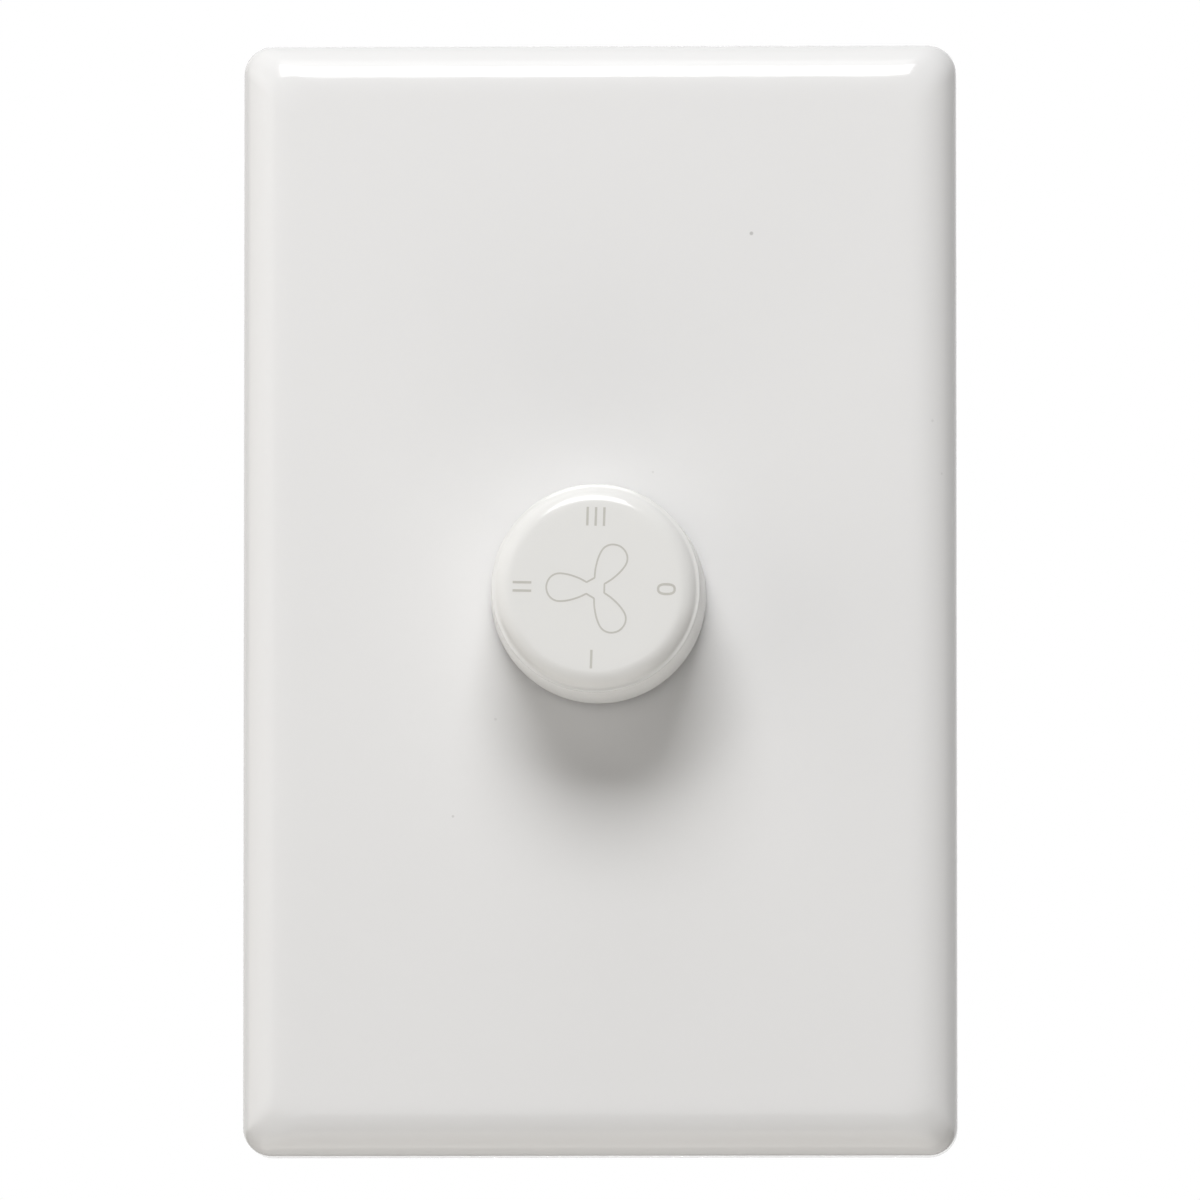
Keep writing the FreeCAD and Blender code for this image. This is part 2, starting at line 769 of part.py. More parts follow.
def spindle():
    body = new_body("spindle")
    pad(body, "bar", "spindle_back", "spindle_front", circle("spindle_radius"))
    flat_height = "spindle_radius - spindle_flat + running_gap"
    flat = ("2 * spindle_radius", flat_height, "0", f"spindle_flat + ({flat_height}) / 2")
    pocket(body, "knob_flat", "flat_foot", "spindle_front", box(*flat))
    pocket(body, "rotor_flat", "spindle_back", "rotor_front", box(*flat))
    groove = (circle("spindle_radius + running_gap"), circle("groove_radius"))
    pocket(body, "ring_groove", "ring_back - running_gap", "groove_front", *groove)


def retaining_ring():
    body = new_body("retaining_ring")
    ends = ("ring_opening_angle / 2 - 90", "270 - ring_opening_angle / 2")
    ring = sector("groove_radius + running_gap", "ring_radius", *ends)
    pad(body, "ring", "ring_back", "ring_front", ring)


def rotor():
    body = new_body("rotor")
    pad(body, "disc", "rotor_back", "rotor_front", circle("rotor_radius"))
    lug = sector("stop_inner", "stop_outer", "-lug_half_angle", "lug_half_angle")
    pad(body, "lug", "lug_back", "rotor_back", lug)
    stakes = [square("stake_width", signed(side, "stake_offset"), "0") for side in SIDES]
    pad(body, "stakes", "rotor_back - stake_height", "rotor_back", *stakes)
    socket = flatted_bar("hub_bore", "spindle_flat + press_gap")
    pocket(body, "socket", "spindle_back", "rotor_front", socket)
    throat = "-(spring_crown + spring_gap)"
    mouth = "-(rotor_radius + roller_gap)"
    slot = outline(
        ("-spring_seat", "-spring_half_width"),
        ("-spring_seat", "spring_half_width"),
        (throat, "spring_half_width"),
        (throat, "slot_half"),
        (mouth, "slot_half"),
        (mouth, "-slot_half"),
        (throat, "-slot_half"),
        (throat, "-spring_half_width"),
    )
    pocket(body, "detent_slot", "slot_back", "rotor_front", slot)


def wiper():
    """A bent spring strip with one leg on the common ring and the other on a speed contact."""
    body = new_body("wiper")
    strip = outline(
        ("-common_circle", "wiper_tip"),
        ("-wiper_flat", "rotor_back - wiper_thick"),
        ("wiper_flat", "rotor_back - wiper_thick"),
        ("contact_circle", "wiper_tip"),
        ("contact_circle", "wiper_tip + wiper_thick"),
        ("wiper_flat", "rotor_back"),
        ("-wiper_flat", "rotor_back"),
        ("-common_circle", "wiper_tip + wiper_thick"),
    )
    pad(body, "strip", "-wiper_width / 2", "wiper_width / 2", strip, plane="YZ_Plane")
    hole_width = "stake_width + 2 * press_gap"
    holes = [square(hole_width, signed(side, "stake_offset"), "0") for side in SIDES]
    pocket(body, "stake_holes", "rotor_back - wiper_thick", "rotor_back", *holes)


def detent_spring():
    body = new_body("detent_spring")
    bow = sector(
        "spring_radius",
        "spring_outer",
        "180 - spring_half_angle",
        "180 + spring_half_angle",
        "-spring_centre",
    )
    pad(body, "bow", "roller_level - spring_width / 2", "roller_level + spring_width / 2", bow)


def detent_roller():
    body = new_body("detent_roller")
    section = circle("roller_radius", "-roller_circle", "0")
    pad(body, "bar", "roller_level - roller_length / 2", "roller_level + roller_length / 2", section)


# Knob


def banded_round(centre, level, radius, bands, fall="90"):
    """Corners of a round that turns in to a face from a side falling at an angle, drawn as straight bands."""
    corners = []
    for number in range(bands, -1, -1):
        angle = f"{fall} * {number / bands}"
        corners.append((f"{centre} + {radius} * sin({angle})", f"{level} + {radius} * cos({angle})"))
    return corners


def knob():
    body = new_body("knob")
    turned(
        body,
        "profile",
        ("0", "hub_foot"),
        ("hub_radius", "hub_foot"),
        ("hub_radius", "roof_under"),
        ("knob_radius - knob_wall", "roof_under"),
        ("knob_radius - knob_wall", "knob_foot"),
        ("knob_radius", "knob_foot"),
        *banded_round("cap_radius", "ledge - knob_bead", "knob_bead", BEAD_BANDS),
        *banded_round("cap_radius - cap_round", "cap_side", "cap_round", CAP_BANDS, "cap_fall_angle"),
        ("0", "knob_face"),
    )
    rib_end = "cap_radius - knob_wall / 2"
    rib = box(f"{rib_end} - hub_radius / 2", "knob_rib", f"({rib_end} + hub_radius / 2) / 2", "0")
    ribs = pad(body, "rib", "knob_rib_foot", "roof_under + knob_roof / 2", rib)
    around = body.newObject("PartDesign::PolarPattern", "knob_ribs")
    around.Originals = [ribs]
    around.Axis = (origin_item(body, "Z_Axis"), [""])
    around.Angle = 360
    bind(around, "Occurrences", "knob_rib_count")
    body.Tip = around
    bore = flatted_bar("hub_bore", "spindle_flat + press_gap")
    pocket(body, "bore", "hub_foot", "bore_end", bore)
    slit_depth = "hub_radius + press_gap"
    slit = box("hub_slit", slit_depth, "0", f"-({slit_depth}) / 2")
    pocket(body, "slit", "hub_foot", "hub_foot + hub_slit_height", slit)


# Circuit board and what stands on it


def resistor_legs(width):
    return [
        square(width, signed(across, "resistor_leg"), signed(up, "resistor_place")) for across, up in CORNERS
    ]


def capacitor_leads(size, width):
    reach = f"{size}_cap_length / 2 - lead_inset"
    return [square(width, signed(side, reach), f"{size}_cap_place") for side in SIDES]


def terminal_pins(width):
    return [
        square(width, place, f"tunnel_middle + {signed(side, 'terminal_pin_spread')}")
        for place in terminal_places()
        for side in SIDES
    ]


def circuit_board():
    """A board with a notch at each corner, round the housing's posts."""
    body = new_body("circuit_board")
    steps = [
        ("notch_across", "board_half_height"),
        ("notch_across", "notch_up"),
        ("board_half_width", "notch_up"),
    ]
    corners = []
    for across, up in [(1, 1), (-1, 1), (-1, -1), (1, -1)]:
        turn = reversed(steps) if across == up else steps
        corners += [(signed(across, x), signed(up, y)) for x, y in turn]
    pin_hole = "pin_width + 2 * pin_gap"
    lead_hole = "lead_width + 2 * pin_gap"
    holes = switch_pins(pin_hole) + terminal_pins(pin_hole) + resistor_legs(lead_hole)
    holes += capacitor_leads("large", lead_hole) + capacitor_leads("small", lead_hole)
    pad(body, "sheet", "board_back", "board_front", outline(*corners), *holes)


def capacitor(size):
    body = new_body(f"capacitor_{size}")
    case = box(f"{size}_cap_length", f"{size}_cap_width", "0", f"{size}_cap_place")
    pad(body, "case", "cap_back", "cap_front", case)
    pad(body, "leads", "cap_front", "board_front + pin_tip", *capacitor_leads(size, "lead_width"))


def bleed_resistors():
    body = new_body("bleed_resistors")

    def across_board(name, reach, shape, size):
        sections = [shape(size, signed(up, "resistor_place"), "resistor_level") for up in SIDES]
        pad(body, name, f"-({reach})", reach, *sections, plane="YZ_Plane")

    across_board("cores", "resistor_length / 2", circle, "resistor_radius")
    across_board("leads", "resistor_leg + lead_width / 2", square, "lead_width")
    pad(body, "legs", "pin_back", "resistor_level", *resistor_legs("lead_width"))


# Terminals


def terminal_tunnels():
    body = new_body("terminal_tunnels")
    pad(body, "blocks", "tunnel_back", "board_back", *at_terminals(box, "tunnel_width", "tunnel_length"))
    pad(body, "pins", "board_back", "board_front + pin_tip", *terminal_pins("pin_width"))
    wires = [circle("wire_radius", place, "wire_level") for place in terminal_places()]
    pocket(body, "wire_bores", "tunnel_low", "tunnel_high", *wires, plane="XZ_Plane")
    threads = at_terminals(circle, "terminal_screw_radius + thread_gap")
    pocket(body, "threads", "tunnel_back", "wire_level", *threads)


def terminal_screws():
    body = new_body("terminal_screws")
    screw_back = "terminal_screw_back"
    pad(body, "bars", screw_back, "terminal_screw_tip", *at_terminals(circle, "terminal_screw_radius"))
    slots = at_terminals(box, "2 * terminal_screw_radius", "screw_slot")
    pocket(body, "slots", screw_back, f"{screw_back} + slot_depth", *slots)


# Build, check and write


def build():
    cover_plate()
    grid_plate()
    rear_housing()
    housing_screws()
    switch_frame()
    bush_nut()
    switch_base()
    fixed_contacts()
    common_contact()
    spindle()
    retaining_ring()
    rotor()
    wiper()
    detent_spring()
    detent_roller()
    knob()
    circuit_board()
    capacitor("large")
    capacitor("small")
    bleed_resistors()
    terminal_tunnels()
    terminal_screws()
    doc.recompute()


def check_features():
    """Stop if a feature failed, or if a cut took nothing away."""
    for item in doc.Objects:
        if "Invalid" in item.State or "Error" in item.State:
            raise RuntimeError(f"{item.Name} failed: {item.State}")
        if item.TypeId in ("PartDesign::Pocket", "PartDesign::SubtractiveLoft"):
            if item.Shape.Volume >= item.BaseFeature.Shape.Volume - NEGLIGIBLE:
                raise RuntimeError(f"{item.Name} cuts nothing")


def write_parts():
    os.makedirs("parts", exist_ok=True)
    for item in doc.Objects:
        if item.TypeId != "PartDesign::Body":
            continue
        if item.Shape.isNull() or not item.Shape.isValid():
            raise RuntimeError(f"{item.Label} has no valid shape")
        item.Shape.exportStep(f"parts/{item.Label}.step")
        print(item.Label, len(item.Shape.Solids), "solids", round(item.Shape.Volume, 2), "mm3")


build()
check_features()
write_parts()
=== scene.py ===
"""Looks of the fan speed control switch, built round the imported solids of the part.

The part's lengths are in millimetres in the wall's own axes: across (+X), up (+Z) and out of the wall (-Y).
The stage is in metres in the scene's axes.
"""

import json
import math

import bmesh
import bpy
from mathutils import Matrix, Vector


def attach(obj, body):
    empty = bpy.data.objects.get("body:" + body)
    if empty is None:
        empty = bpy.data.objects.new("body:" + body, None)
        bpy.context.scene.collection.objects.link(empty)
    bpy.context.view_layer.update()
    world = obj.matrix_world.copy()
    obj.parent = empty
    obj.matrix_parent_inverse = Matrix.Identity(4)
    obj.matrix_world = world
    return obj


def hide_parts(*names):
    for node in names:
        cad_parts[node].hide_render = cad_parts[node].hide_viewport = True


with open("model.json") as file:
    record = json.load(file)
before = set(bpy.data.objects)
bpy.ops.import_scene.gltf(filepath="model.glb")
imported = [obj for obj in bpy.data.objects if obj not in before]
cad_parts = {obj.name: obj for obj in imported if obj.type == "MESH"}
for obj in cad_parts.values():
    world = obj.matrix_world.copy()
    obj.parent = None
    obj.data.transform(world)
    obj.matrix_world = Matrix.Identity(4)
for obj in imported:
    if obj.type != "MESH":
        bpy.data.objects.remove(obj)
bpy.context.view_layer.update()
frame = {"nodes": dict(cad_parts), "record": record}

MM = 0.001

# Sizes of the cover plate

PLATE_WIDTH, PLATE_HEIGHT, PLATE_DEPTH = 75.0, 117.0, 9.5
PLATE_CORNER = 3.0
PLATE_WALL = 2.0
EDGE_ROUND, EDGE_EASE = 4.5, 3.0
INSIDE_CORNER = 1.0
RIM_ROUND = 0.3
KNOB_HOLE_RADIUS, HOLE_ROUND = 5.2, 0.25
STANDOFF_PLACE, STANDOFF_WIDTH = (29.1, 50.1), 3.2
STANDOFF_FOOT, STANDOFF_CHAMFER = 3.7, 0.2
SNAP_PLACE, SNAP_SIZE, SNAP_LEVELS = (35.55, 30.0), (1.9, 10.0), (0.3, 1.1)
CORNER_STEPS, SIDE_STEPS, ROUND_STEPS, FACE_STEPS = 10, 24, 20, 8

# Sizes of the knob

KNOB_FOOT, KNOB_FACE = 10.3, 23.28
FOOT_ROUND = 0.2
BASE_RADIUS, RIM_RADIUS = 11.28, 10.90
BEAD_ROUND, BEAD_TILT, BEAD_TOP = 0.2, 10.0, 22.06
FACE_RADIUS, CAP_ROUND, CAP_FALL = 8.65, 2.03, 58.0
GRIP_TOP = 21.88
SKIRT_INSIDE, ROOF_UNDER = 9.7, 21.3
HUB_RADIUS, HUB_FOOT = 5.2, 10.6
BORE_RADIUS, BORE_END = 3.02, 20.7
RIB_COUNT, RIB_THICK, RIB_FOOT, RIB_END = 6, 1.0, 13.2, 9.88
RIB_INTO_HUB, RIB_INTO_ROOF = 0.3, 1.0
KNOB_STEPS = 180
FOOT_STEPS, BEAD_STEPS, VALLEY_STEPS, CAP_STEPS = 4, 8, 10, 12
KNOB_FACE_RADII = (7.0, 5.0, 3.0, 1.0)

# Sizes of the printed marks on the knob's face

INK_TOP, INK_SINK = 23.3, 0.01
BAR_TURNS = {3: -1.9, 2: 88.8, 1: 178.1}
MARK_RING, BAR_LENGTH, BAR_WIDTH, BAR_PITCH = 7.46, 1.95, 0.25, 0.87
NOUGHT_TURN, NOUGHT_RING = -91.2, 7.60
NOUGHT_LENGTH, NOUGHT_WIDTH, NOUGHT_FULLNESS = 1.98, 1.27, 0.8
MARK_SHIFT = Vector((-0.20, -0.06))
FAN_TURN, FAN_SHIFT, FAN_LINE = -1.6, Vector((-0.04, -0.10)), 0.18
FAN_LOBE = [
    (0.90, 0.60),
    (1.35, 0.84),
    (1.88, 1.07),
    (2.72, 1.33),
    (3.55, 1.45),
    (4.15, 1.38),
    (4.65, 1.07),
    (4.97, 0.58),
]
FAN_TIP = 5.09


def place(across, up, out):
    return Vector((across, -out, up)) * MM


# Mesh building

CORNERS = [(1, -1), (1, 1), (-1, 1), (-1, -1)]


def mesh_piece(name, build, smooth_angle=35):
    """A new object whose mesh the function build draws with bmesh."""
    mesh = bpy.data.meshes.new(name)
    bm = bmesh.new()
    build(bm)
    bmesh.ops.recalc_face_normals(bm, faces=bm.faces)
    bm.to_mesh(mesh)
    bm.free()
    mesh.shade_smooth()
    mesh.set_sharp_from_angle(angle=math.radians(smooth_angle))
    piece = bpy.data.objects.new(name, mesh)
    bpy.context.scene.collection.objects.link(piece)
    return piece


def add_ring(bm, points, out):
    return [bm.verts.new(place(across, up, out)) for across, up in points]


def skin(bm, first, second):
    """Quads between two rings of the same count."""
    count = len(first)
    for here in range(count):
        after = (here + 1) % count
        bm.faces.new((first[here], first[after], second[after], second[here]))


def skin_all(bm, rings):
    """Quads between each ring and the one after it."""
    for first, second in zip(rings, rings[1:]):
        skin(bm, first, second)


def add_box(bm, low, high):
    made = bmesh.ops.create_cube(bm, size=1.0)["verts"]
    for vert in made:
        vert.co = Vector([low[n] if vert.co[n] < 0 else high[n] for n in range(3)])


def arc_points(centre, radius, start, end, steps):
    angles = [math.radians(start + (end - start) * n / steps) for n in range(steps + 1)]
    return [(centre[0] + radius * math.cos(a), centre[1] + radius * math.sin(a)) for a in angles]


def turned_points(points, degrees):
    cosine, sine = math.cos(math.radians(degrees)), math.sin(math.radians(degrees))
    return [(x * cosine - y * sine, x * sine + y * cosine) for x, y in points]


# Cover plate


def rounded_outline(width, height, corner):
    """Points round a rectangle with rounded corners, the same count for every size."""
    points = []
    for turn, (side, end) in enumerate(CORNERS):
        centre = Vector((side * (width / 2 - corner), end * (height / 2 - corner)))
        arc = []
        for step in range(CORNER_STEPS + 1):
            angle = math.radians(90 * (turn - 1 + step / CORNER_STEPS))
            arc.append(centre + corner * Vector((math.cos(angle), math.sin(angle))))
        if points:
            points += side_points(points[-1], arc[0])
        points += arc
    return points + side_points(points[-1], points[0])


def side_points(begin, end):
    return [begin.lerp(end, step / SIDE_STEPS) for step in range(1, SIDE_STEPS)]


def round_hole(points, radius):
    """The points of an outline, drawn in along their own directions to a circle."""
    return [radius * point.normalized() for point in points]


def edge_bend(radius, ease):
    """Inset and drop along a rounded edge, from its side up to its face.

    The bend leaves the face gently, over a length of ease.
    """
    step = (radius * math.pi / 2 + ease / 2) / ROUND_STEPS
    points = [Vector((0.0, 0.0))]
    for number in range(ROUND_STEPS):
        run = (number + 0.5) * step
        tilt = run**2 / (2 * ease * radius) if run < ease else (run - ease / 2) / radius
        points.append(points[-1] + step * Vector((math.cos(tilt), math.sin(tilt))))
    reach = points[-1].x
    return [(reach - along, drop) for along, drop in reversed(points)]


def shoulder_rings(width, height, corner, bend, face):
    """Rings of a rounded edge, from the side of the plate up to its face."""
    return [
        (rounded_outline(width - 2 * inset, height - 2 * inset, corner), face - drop)
        for inset, drop in bend
    ]


def face_rings(outline, hole, out):
    """Rings across a flat face, from its outline in to a round hole."""
    inner = round_hole(outline, hole)
    return [
        ([point.lerp(target, step / FACE_STEPS) for point, target in zip(outline, inner)], out)
        for step in range(1, FACE_STEPS + 1)
    ]


def small_round(radius, angle):
    """Distances from a wall and from a face, at an angle round the small edge between them."""
    return radius * (1 - math.sin(math.radians(angle))), radius * (1 - math.cos(math.radians(angle)))


def draw_cover(bm):
    outer_bend = edge_bend(EDGE_ROUND, EDGE_EASE)
    outer = shoulder_rings(PLATE_WIDTH, PLATE_HEIGHT, PLATE_CORNER, outer_bend, PLATE_DEPTH)
    hollow_size = (PLATE_WIDTH - 2 * PLATE_WALL, PLATE_HEIGHT - 2 * PLATE_WALL, INSIDE_CORNER)
    inner_bend = edge_bend(EDGE_ROUND - PLATE_WALL, 0.0)
    inner = shoulder_rings(*hollow_size, inner_bend, PLATE_DEPTH - PLATE_WALL)
    rings = []
    for angle in (0, 30, 60, 90):
        inset, rise = small_round(RIM_ROUND, angle)
        width, height = PLATE_WIDTH - 2 * inset, PLATE_HEIGHT - 2 * inset
        rings.append((rounded_outline(width, height, PLATE_CORNER - inset), rise))
    rings += outer
    face = outer[-1][0]
    rings += face_rings(face, KNOB_HOLE_RADIUS + HOLE_ROUND, PLATE_DEPTH)
    for angle in (30, 60, 90):
        widening, drop = small_round(HOLE_ROUND, angle)
        rings.append((round_hole(face, KNOB_HOLE_RADIUS + widening), PLATE_DEPTH - drop))
    inside_face = face_rings(inner[-1][0], KNOB_HOLE_RADIUS, PLATE_DEPTH - PLATE_WALL)
    rings += inside_face[::-1] + inner[::-1]
    rings.append((inner[0][0], 0.0))
    drawn = [add_ring(bm, points, out) for points, out in rings]
    skin_all(bm, drawn + drawn[:1])
    for side in (-1, 1):
        for end in (-1, 1):
            draw_standoff(bm, side * STANDOFF_PLACE[0], end * STANDOFF_PLACE[1])
            draw_snap(bm, side * SNAP_PLACE[0], end * SNAP_PLACE[1])


def draw_standoff(bm, across, up):
    """A square post with a small chamfer round its foot."""
    half = STANDOFF_WIDTH / 2
    levels = [
        (STANDOFF_FOOT, half - STANDOFF_CHAMFER),
        (STANDOFF_FOOT + STANDOFF_CHAMFER, half),
        (PLATE_DEPTH - PLATE_WALL / 2, half),
    ]
    rings = []
    for out, reach in levels:
        rings.append(add_ring(bm, [(across + reach * x, up + reach * y) for x, y in CORNERS], out))
    skin_all(bm, rings)
    bm.faces.new(rings[0])
    bm.faces.new(rings[-1])


def draw_snap(bm, across, up):
    """A snap lug on the plate's inner wall."""
    half = (SNAP_SIZE[0] / 2, SNAP_SIZE[1] / 2)
    low = place(across - half[0], up - half[1], SNAP_LEVELS[1])
    high = place(across + half[0], up + half[1], SNAP_LEVELS[0])
    add_box(bm, low, high)


# Knob


def soft_bend(begin, begin_fall, end, end_fall, steps):
    """Points between two places on a smooth line that leaves each at its own angle of fall."""
    begin_slope, end_slope = math.tan(math.radians(begin_fall)), math.tan(math.radians(end_fall))
    rise = end[1] - begin[1] + end_slope * (end[0] - begin[0])
    corner_radius = begin[0] + rise / (end_slope - begin_slope)
    corner = Vector((corner_radius, begin[1] - begin_slope * (corner_radius - begin[0])))
    first, last = Vector(begin), Vector(end)
    shares = [step / steps for step in range(1, steps)]
    return [first.lerp(corner, share).lerp(corner.lerp(last, share), share) for share in shares]


def knob_profile():
    """Radius and level of the knob's turned outline, from the bore's end round to its face."""
    inside = [
        (BORE_RADIUS, BORE_END),
        (BORE_RADIUS, HUB_FOOT),
        (HUB_RADIUS, HUB_FOOT),
        (HUB_RADIUS, ROOF_UNDER),
        (SKIRT_INSIDE, ROOF_UNDER),
    ]
    foot = [(SKIRT_INSIDE, KNOB_FOOT + FOOT_ROUND), (SKIRT_INSIDE + FOOT_ROUND, KNOB_FOOT)]
    foot += arc_points((BASE_RADIUS - FOOT_ROUND, KNOB_FOOT + FOOT_ROUND), FOOT_ROUND, -90, 0, FOOT_STEPS)
    bead_centre = (RIM_RADIUS - BEAD_ROUND, BEAD_TOP - BEAD_ROUND)
    bead = arc_points(bead_centre, BEAD_ROUND, 0, 90 - BEAD_TILT, BEAD_STEPS)
    cap = arc_points((FACE_RADIUS, KNOB_FACE - CAP_ROUND), CAP_ROUND, 90 - CAP_FALL, 90, CAP_STEPS)
    valley = soft_bend(bead[-1], BEAD_TILT, cap[0], CAP_FALL, VALLEY_STEPS)
    face = [(radius, KNOB_FACE) for radius in KNOB_FACE_RADII]
    return inside + foot + bead + valley + cap + face


def draw_knob(bm):
    around = [2 * math.pi * n / KNOB_STEPS for n in range(KNOB_STEPS)]
    rings = []
    for radius, out in knob_profile():
        rings.append(add_ring(bm, [(radius * math.cos(a), radius * math.sin(a)) for a in around], out))
    skin_all(bm, rings)
    bm.faces.new(rings[0])
    bm.faces.new(rings[-1])
    for number in range(RIB_COUNT):
        draw_rib(bm, 2 * math.pi * number / RIB_COUNT)


def draw_rib(bm, angle):
    """A web from the hub to the skirt, sunk a little into the hub and the roof."""
    begin, end = HUB_RADIUS - RIB_INTO_HUB, RIB_END
    along = Vector((math.cos(angle), math.sin(angle)))
    aside = Vector((-math.sin(angle), math.cos(angle)))
    half = RIB_THICK / 2
    section = [
        along * begin - aside * half,
        along * end - aside * half,
        along * end + aside * half,
        along * begin + aside * half,
    ]
    low = add_ring(bm, section, RIB_FOOT)
    high = add_ring(bm, section, ROOF_UNDER + RIB_INTO_ROOF)
    skin(bm, low, high)
    bm.faces.new(low)
    bm.faces.new(high)


# Printed marks


def draw_line(bm, points, width, closed):
    """A flat printed line along points, as thick as the ink."""
    path = [Vector(point) for point in points]
    count = len(path)
    sides = []
    for here, point in enumerate(path):
        before = path[here - 1] if closed or here else point
        after = path[(here + 1) % count] if closed or here < count - 1 else point
        way = (after - before).normalized()
        normal = Vector((-way.y, way.x)) * width / 2
        sides.append((point + normal, point - normal))
    top = [[bm.verts.new(place(*spot, INK_TOP)) for spot in pair] for pair in sides]
    low = [[bm.verts.new(place(*spot, KNOB_FACE - INK_SINK)) for spot in pair] for pair in sides]
    for here in range(count if closed else count - 1):
        after = (here + 1) % count
        bm.faces.new((top[here][0], top[here][1], top[after][1], top[after][0]))
        bm.faces.new((top[here][0], top[after][0], low[after][0], low[here][0]))
        bm.faces.new((top[here][1], low[here][1], low[after][1], top[after][1]))
    if not closed:
        for end in (0, -1):
            bm.faces.new((top[end][0], low[end][0], low[end][1], top[end][1]))


def bars(count):
    """Upright bars side by side at the top of the mark ring."""
    ends = (MARK_RING - BAR_LENGTH / 2, MARK_RING + BAR_LENGTH / 2)
    return [[((n - (count - 1) / 2) * BAR_PITCH, end) for end in ends] for n in range(count)]


def nought():
    """A long 0 at the top of the mark ring, standing along the radius."""
    half = ((NOUGHT_WIDTH - BAR_WIDTH) / 2, (NOUGHT_LENGTH - BAR_WIDTH) / 2)
    circle = arc_points((0, 0), 1.0, 0, 350, 35)
    full = [[math.copysign(abs(part) ** NOUGHT_FULLNESS, part) for part in point] for point in circle]
    return [(half[0] * x, NOUGHT_RING + half[1] * y) for x, y in full]


def smooth_through(points, steps=6):
    """Points on a smooth line through the given ones, which are its ends and the places between."""
    path = [Vector(point) for point in points]
    padded = [2 * path[0] - path[1], *path, 2 * path[-1] - path[-2]]
    line = []
    for before, begin, end, after in zip(padded, padded[1:], padded[2:], padded[3:]):
        cubed = -before + 3 * begin - 3 * end + after
        squared = 2 * before - 5 * begin + 4 * end - after
        for step in range(steps):
            share = step / steps
            twice = cubed * share**3 + squared * share**2 + (end - before) * share + 2 * begin
            line.append(twice / 2)
    return line + [path[-1]]


def fan_outline():
    """Three leaf-shaped blades, joined by short straight lines at the hub."""
    upper = [(-reach, half) for reach, half in FAN_LOBE]
    lower = [(-reach, -half) for reach, half in reversed(FAN_LOBE)]
    blade = smooth_through(upper + [(-FAN_TIP, 0.0)] + lower)
    outline = []
    for turn in (0, 120, 240):
        outline += turned_points(blade, turn)
    return outline


def printed(points, turn, shift):
    """Points of a mark turned to its place on the dial, with the printing's slight shift."""
    return [Vector(point) + shift for point in turned_points(points, turn)]


def draw_marks(bm):
    for count, turn in BAR_TURNS.items():
        for bar in bars(count):
            draw_line(bm, printed(bar, turn, MARK_SHIFT), BAR_WIDTH, closed=False)
    draw_line(bm, printed(nought(), NOUGHT_TURN, MARK_SHIFT), BAR_WIDTH, closed=True)
    draw_line(bm, printed(fan_outline(), FAN_TURN, FAN_SHIFT), FAN_LINE, closed=True)


# Materials

PLASTIC_IOR, KNOB_IOR = 1.5, 1.44
GRIP_ROUGHNESS, GRIP_GRAIN, GRIP_DEPTH = 0.19, 0.25, 0.02
SPECK_COLOUR = (0.12, 0.11, 0.10)
WEAVE_SIZE = 0.5


